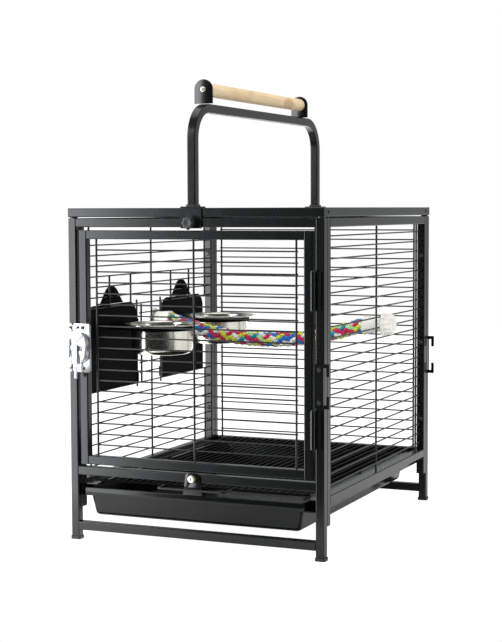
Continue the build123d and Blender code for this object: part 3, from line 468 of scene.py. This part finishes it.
def makeRope():
    route = ropeRoute()
    bm = bmesh.new()
    bm.loops.layers.uv.new("UVMap")
    tint = bm.verts.layers.float_color.new("strand")
    for way, colours in ((1, rope["one"]), (-1, rope["other"])):
        for number, colour in enumerate(colours):
            strand = strandShape(route, way, 2 * math.pi * number / rope["perWay"])
            for vert in wrapStrip(bm, rope["steps"], rope["sides"], strand):
                vert[tint] = (*rope[colour], 1)
    for vert in wrapStrip(bm, rope["steps"], rope["coreSides"], coreShape(route)):
        vert[tint] = (*rope["coreColour"], 1)
    closeEnds(bm)
    finishPiece("ropePerch", bm, finishes["rope"], "frame", "perch_rope", sharpOver["soft"])


def makeCaps():
    # each cap leans a little, so that its mouth meets the rope
    low, high = boxOf("perch_caps")
    length = high.x - rope["halfLength"]
    bm = copyOf("perch_caps")
    for vert in bm.verts:
        share = min(1.0, (high.x - abs(vert.co.x)) / length)
        vert.co.z -= rope["capDrop"] * share
    finishPiece("perchCapsLeant", bm, finishes["white_plastic"], "frame", "perch_caps",
                sharpOver["cut"])


finishes["rope"] = ropeMaterial()
makeRope()
makeCaps()
print("rope braided")


# steel bowls: spun cups with a broad flange rolled down at its edge

bowl = {
    "body": 0.0465, "wall": 0.0009, "corner": 0.010, "cornerSteps": 6, "turns": 96, "roll": 0.0012,
    "flat": 0.55, "dish": 0.0006, "rollTurns": (235, 270, 310, 350, 30, 70), "rollDrop": 0.0013,
    "outerNeck": ((0.0, 0.0046), (0.0008, 0.0024), (0.0030, 0.0014)),
    "innerNeck": ((-0.0009, 0.0050), (-0.0003, 0.0022), (0.0012, 0.0006)),
    "flangeEnds": ((2.1, 0.0010), (2.2, 0.0001)),  # inwards of the rim in roll radii, and down
}


def bowlSide(rim, top, base, inset, neck, flangeEnd):
    # one skin of the cup as (radius, height), from the middle of its base to its flange
    wide, flat = bowl["body"], bowl["body"] * bowl["flat"]
    bend = bowl["corner"] - inset
    start, floor = wide - bowl["corner"], base + inset
    line = [(0.0, floor), (flat, base + bowl["dish"] + inset)]
    for i in range(bowl["cornerSteps"] + 1):
        turn = math.pi / 2 * i / bowl["cornerSteps"]
        line.append((start + bend * math.sin(turn), floor + bend * (1 - math.cos(turn))))
    line += [(wide + out, top - drop) for out, drop in neck]
    share, drop = flangeEnd
    return line + [(rim - share * bowl["roll"], top - drop)]


def makeBowl(name, body):
    low, high = boxOf(name)
    middle = (low + high) / 2
    rim, roll = (high.x - low.x) / 2, bowl["roll"]
    outside = bowlSide(rim, high.z, low.z, 0.0, bowl["outerNeck"], bowl["flangeEnds"][0])
    inside = bowlSide(rim, high.z, low.z, bowl["wall"], bowl["innerNeck"], bowl["flangeEnds"][1])
    edge = [(rim - roll + roll * math.cos(turn), high.z - bowl["rollDrop"] + roll * math.sin(turn))
            for turn in map(math.radians, bowl["rollTurns"])]
    bm = bmesh.new()
    chain = [bm.verts.new((middle.x + r, middle.y, z)) for r, z in outside + edge + inside[::-1]]
    edges = [bm.edges.new(pair) for pair in zip(chain, chain[1:])]
    bmesh.ops.spin(bm, geom=chain + edges, cent=(middle.x, middle.y, 0), axis=(0, 0, 1),
                   angle=2 * math.pi, steps=bowl["turns"], use_merge=True)
    bmesh.ops.remove_doubles(bm, verts=bm.verts, dist=weldDistance)
    finishPiece(name.replace("_", "") + "Spun", bm, finishes["stainless"], body, name,
                sharpOver["turned"])


makeBowl("bowl_front", "bowl_front")
makeBowl("bowl_rear", "bowl_rear")
print("bowls spun")


# ribbed perch nuts, fluted handle knobs and the grate's thumb screw
# rows of (way along, radius, share of the lobes' depth), near ones from the seat, far ones from the free end

nut = {
    "rows": 144, "lobes": 12, "depth": 0.0011,
    "near": ((0, 0, 0), (0, 0.0035, 0), (0, 0.0164, 0), (0.0006, 0.0170, 0), (0.0034, 0.0170, 0),
             (0.0040, 0.0164, 0), (0.0041, 0.01544, 0.5), (0.0060, 0.0150, 1)),
    "far": ((0.0050, 0.0150, 1), (0.0030, 0.0148, 1), (0.0016, 0.0142, 0.7), (0.0006, 0.0131, 0.3),
            (0, 0.0114, 0), (0, 0.0070, 0), (0.0008, 0.0062, 0), (0.0008, 0, 0)),
}
knob = {
    "rows": 96, "lobes": 8, "depth": 0.0007,
    "near": ((0, 0, 0), (0, 0.0063, 0), (0.0004, 0.0071, 0), (0.0030, 0.0083, 0.6), (0.0050, 0.0093, 1)),
    "far": ((0.0020, 0.0093, 1), (0.0008, 0.0087, 0.9), (0.0001, 0.0073, 0.5), (0, 0.0053, 0),
            (0.0005, 0.0030, 0), (0.0005, 0, 0)),
}
thumb = {
    "rows": 96, "lobes": 24, "depth": 0.00018,
    "near": ((0, 0, 0), (0, 0.0021, 0)),
    "far": ((0.0050, 0.0021, 0), (0.0050, 0.0049, 0), (0.0046, 0.0053, 1), (0.0011, 0.0053, 1),
            (0.000385, 0.00497, 0.5), (0, 0.0042, 0), (0, 0.0023, 0), (0.0016, 0.0020, 0), (0.0018, 0, 0)),
}


def makeTurned(name, part, node, body, axis, finish, sharp):
    # turned from the end of the node's box that the axis leaves
    low, high = boxOf(node)
    seat = (low + high) / 2
    way = max(range(3), key=lambda i: abs(axis[i]))
    seat[way] = low[way] if axis[way] > 0 else high[way]
    length = high[way] - low[way]
    profile = [(along, radius, share * part["depth"]) for along, radius, share in part["near"]]
    profile += [(length - back, radius, share * part["depth"]) for back, radius, share in part["far"]]
    bm = bmesh.new()
    turned(bm, seat, axis, profile, part["rows"], part["lobes"])
    finishPiece(name, bm, finishes[finish], body, node, sharp)


for end, side in (("left", -1), ("right", 1)):
    node = "perch_nut_" + end
    makeTurned(f"perchnut{end}Ribbed", nut, node, node, (side, 0, 0), "white_plastic",
               sharpOver["turned"])
for end, side in (("front", -1), ("rear", 1)):
    makeTurned(f"handleknob{end}Fluted", knob, "handle_knob_" + end, "knob_" + end, (0, side, 0),
               "black_plastic", sharpOver["turned"])
makeTurned("thumbScrew", thumb, "grate_screw", "grate_screw", (0, -1, 0), "satin_nickel",
           sharpOver["cast"])
print("nuts and knobs turned")


# domed screw heads, one for every separate head in a node

screw = {"cells": 7, "slot": 0.1, "arm": 0.62, "recess": 0.55, "crown": 0.45}


def separateBoxes(name):
    # the boxes of a node's loose parts, found by walking each part's edges, in the same order in every run
    bm = copyOf(name)
    left, boxes = dict.fromkeys(bm.verts), []
    while left:
        group, front = [], [left.popitem()[0]]
        while front:
            vert = front.pop()
            group.append(vert)
            near = [other for other in (e.other_vert(vert) for e in vert.link_edges) if other in left]
            for other in near:
                del left[other]
            front += near
        low = Vector([min(v.co[i] for v in group) for i in range(3)])
        high = Vector([max(v.co[i] for v in group) for i in range(3)])
        boxes.append((low, high))
    bm.free()
    return boxes


def addScrew(bm, seat, direction, radius, height):
    along = Vector(direction)
    side = along.orthogonal().normalized()
    other = along.cross(side)
    made = bmesh.ops.create_grid(bm, x_segments=screw["cells"], y_segments=screw["cells"], size=1.0)["verts"]
    faces = dict.fromkeys(face for vert in made for face in vert.link_faces)
    cross = []
    for face in faces:
        middle = face.calc_center_median()
        near, far = sorted((abs(middle.x), abs(middle.y)))
        if near < screw["slot"] and far < screw["arm"]:
            cross.append(face)
    rim = [edge for edge in dict.fromkeys(e for v in made for e in v.link_edges) if edge.is_boundary]
    # the faces pressed in leave their first copies on top, which cover the recess: the dome shows plain
    pressed = bmesh.ops.extrude_face_region(bm, geom=cross)["geom"]
    deep = [g for g in pressed if isinstance(g, bmesh.types.BMVert)]
    skirt = bmesh.ops.extrude_edge_only(bm, edges=rim)["geom"]
    foot = [g for g in skirt if isinstance(g, bmesh.types.BMVert)]
    bmesh.ops.contextual_create(bm, geom=[g for g in skirt if isinstance(g, bmesh.types.BMEdge)])
    for vert in made + deep + foot:
        if not vert.is_valid:
            continue
        # the square grid's points are drawn in to a disc
        x, y = vert.co.x, vert.co.y
        x, y = x * math.sqrt(1 - y * y / 2), y * math.sqrt(1 - x * x / 2)
        lift = height * (1 - screw["crown"] * (x * x + y * y))
        if vert in deep:
            lift -= height * screw["recess"]
        if vert in foot:
            lift = 0
        vert.co = Vector(seat) + (side * x + other * y) * radius + along * lift


def makeScrews(name, body, finish, axis):
    bm = bmesh.new()
    for low, high in separateBoxes(name):
        middle = (low + high) / 2
        way = 1 if middle[axis] > 0 else -1
        direction = Vector([way if i == axis else 0 for i in range(3)])
        seat = middle.copy()
        seat[axis] = low[axis] if way > 0 else high[axis]
        radius = max((high - low)[(axis + 1) % 3], (high - low)[(axis + 2) % 3]) / 2
        addScrew(bm, seat, direction, radius, (high - low)[axis])
    finishPiece(name.replace("_", "") + "Cross", bm, finishes[finish], body, name,
                sharpOver["cut"])


makeScrews("latch_screws", "door", "screw_steel", axis=1)
makeScrews("keeper_screws", "frame", "screw_steel", axis=1)
makeScrews("roof_screws", "frame", "dark_steel", axis=0)
makeScrews("grip_screws", "frame", "satin_nickel", axis=1)
print("screws headed")


# cast and folded parts with their edges eased

easing = {"flat": math.radians(1.0), "segments": 2, "profile": 0.5}


def easeNode(name, body, slot, width):
    bm = copyOf(name)
    bmesh.ops.dissolve_limit(bm, angle_limit=easing["flat"], verts=bm.verts, edges=bm.edges)
    turn = math.radians(sharpOver["cast"])
    keen = [e for e in bm.edges if e.is_manifold and e.is_convex and e.calc_face_angle(0) > turn]
    bmesh.ops.bevel(bm, geom=keen, offset=width, segments=easing["segments"], profile=easing["profile"],
                    affect="EDGES", material=-1, clamp_overlap=True)
    finishPiece(name.replace("_", "") + "Eased", bm, finishes[slot], body, name,
                sharpOver["cast"], outward=False)


easeNode("latch_body", "door", "chrome", width=0.0006)
easeNode("latch_bolt", "latch_bolt", "chrome", width=0.0004)
easeNode("latch_keeper", "frame", "chrome", width=0.0005)
easeNode("tray", "tray", "tray_plastic", width=0.0010)
easeNode("grate_tab", "grate", "powder_coat", width=0.0004)
easeNode("grip_plates", "frame", "powder_coat", width=0.0005)
print("edges eased")


# floor, world and lamps

studio = {
    "floorX": (-3.0, 3.0), "floorY": (-0.52, 3.5), "floorColour": (0.82, 0.82, 0.82),
    # the floor's side glow and its edge set a painted pool of light, seen only in reflections
    "floorGlow": 1.0, "floorShadow": (0.20, 0.20, 0.20), "paintedPoolGlow": 1.3, "sideEdge": (0.08, -0.30),
    "ambient": 0.95, "mirrorFront": 0.010, "mirrorBack": 0.55, "mirrorAbove": 0.25,
    "frontEdge": (-0.85, 0.1), "aboveEdge": (0.25, 0.6), "mirrorTint": (0.96, 1.0, 0.97),
}


def layFloor():
    bpy.ops.mesh.primitive_plane_add(size=1.0)
    floor = bpy.context.object
    floor.name = "floor"
    low, high = (Vector(corner) for corner in zip(studio["floorX"], studio["floorY"]))
    middle = (low + high) / 2
    floor.data.transform(Matrix.Translation((middle.x, middle.y, 0)) @ Matrix.Diagonal((*(high - low), 1, 1)))
    material = bpy.data.materials.new("floor")
    material.use_nodes = True
    tree = material.node_tree
    tree.nodes.remove(tree.nodes["Principled BSDF"])
    net = Net(tree)
    # the camera sees a white floor with a soft shadow, mirrors see a lit one with a painted pool of light
    # that is brighter at its left
    dim = net.add("ShaderNodeBsdfDiffuse", {}, {"Color": studio["floorShadow"]})
    glow = net.add("ShaderNodeEmission", {}, {"Color": (1, 1, 1), "Strength": studio["floorGlow"]})
    seen = net.add("ShaderNodeAddShader", {}, {0: dim, 1: glow})
    matte = net.add("ShaderNodeBsdfDiffuse", {}, {"Color": studio["floorColour"]})
    glossy = net.add("ShaderNodeLightPath", out="Is Glossy Ray")
    # painted light: for glossy rays the floor glows brighter towards its left
    paintedPool = glossy * net.along(net.place(), "X").ease(*studio["sideEdge"]) * studio["paintedPoolGlow"]
    lamp = net.add("ShaderNodeEmission", {}, {"Color": (1, 1, 1), "Strength": paintedPool})
    lit = net.add("ShaderNodeAddShader", {}, {0: matte, 1: lamp})
    ray = net.add("ShaderNodeLightPath", out="Is Camera Ray")
    both = net.add("ShaderNodeMixShader", {}, {0: ray, 1: lit, 2: seen})
    net.put(tree.nodes["Material Output"].inputs["Surface"], both)
    floor.data.materials.append(material)


def hangWorld():
    world = bpy.data.worlds.new("studio")
    bpy.context.scene.world = world
    world.use_nodes = True
    tree = world.node_tree
    net = Net(tree)
    # mirrors see a dark room in front, a light one behind and a dim one above; the camera sees white
    direction = net.add("ShaderNodeTexCoord", out="Generated")
    gain = studio["mirrorBack"] - studio["mirrorFront"]
    mirror = net.along(direction, "Y").ease(*studio["frontEdge"]) * gain + studio["mirrorFront"]
    above = net.along(direction, "Z").ease(*studio["aboveEdge"])
    mirror = mirror * (1 - above) + above * studio["mirrorAbove"]
    path = net.add("ShaderNodeLightPath", out="Is Camera Ray")
    glossy = net.add("ShaderNodeLightPath", out="Is Glossy Ray")
    level = glossy * mirror + (1 - glossy) * studio["ambient"]
    background = tree.nodes["Background"]
    net.put(background.inputs["Color"], net.mix(glossy, (1, 1, 1), studio["mirrorTint"]))
    net.put(background.inputs["Strength"], path + (1 - path) * level)


softboxes = {
    "left": {
        "place": (-1.66, -1.65, 0.75), "aim": (0, 0, 0.75), "size": (1.4, 2.3), "light": 7.0,
        "tint": (0.94, 0.965, 1.0),
    },
    "top": {
        "place": (0.0, 0.2, 2.1), "aim": (0, 0, 0.3), "size": (1.6, 1.6), "light": 1.9,
        "tint": (1, 1, 1),
    },
    "right": {
        "place": (2.3, -0.2, 1.0), "aim": (0, 0, 0.3), "size": (0.7, 1.4), "light": 1.0,
        "tint": (1, 1, 1),
    },
}


def hangSoftboxes():
    for name, box in softboxes.items():
        data = bpy.data.lights.new(name, "AREA")
        data.shape = "RECTANGLE"
        data.size, data.size_y = box["size"]
        data.color = box["tint"]
        data.energy = box["light"] * math.pi * box["size"][0] * box["size"][1]
        lamp = bpy.data.objects.new(name, data)
        lamp.location = box["place"]
        away = Vector(box["place"]) - Vector(box["aim"])
        lamp.rotation_euler = away.to_track_quat("Z", "Y").to_euler()
        bpy.context.scene.collection.objects.link(lamp)


layFloor()
hangWorld()
hangSoftboxes()
print("studio lit")
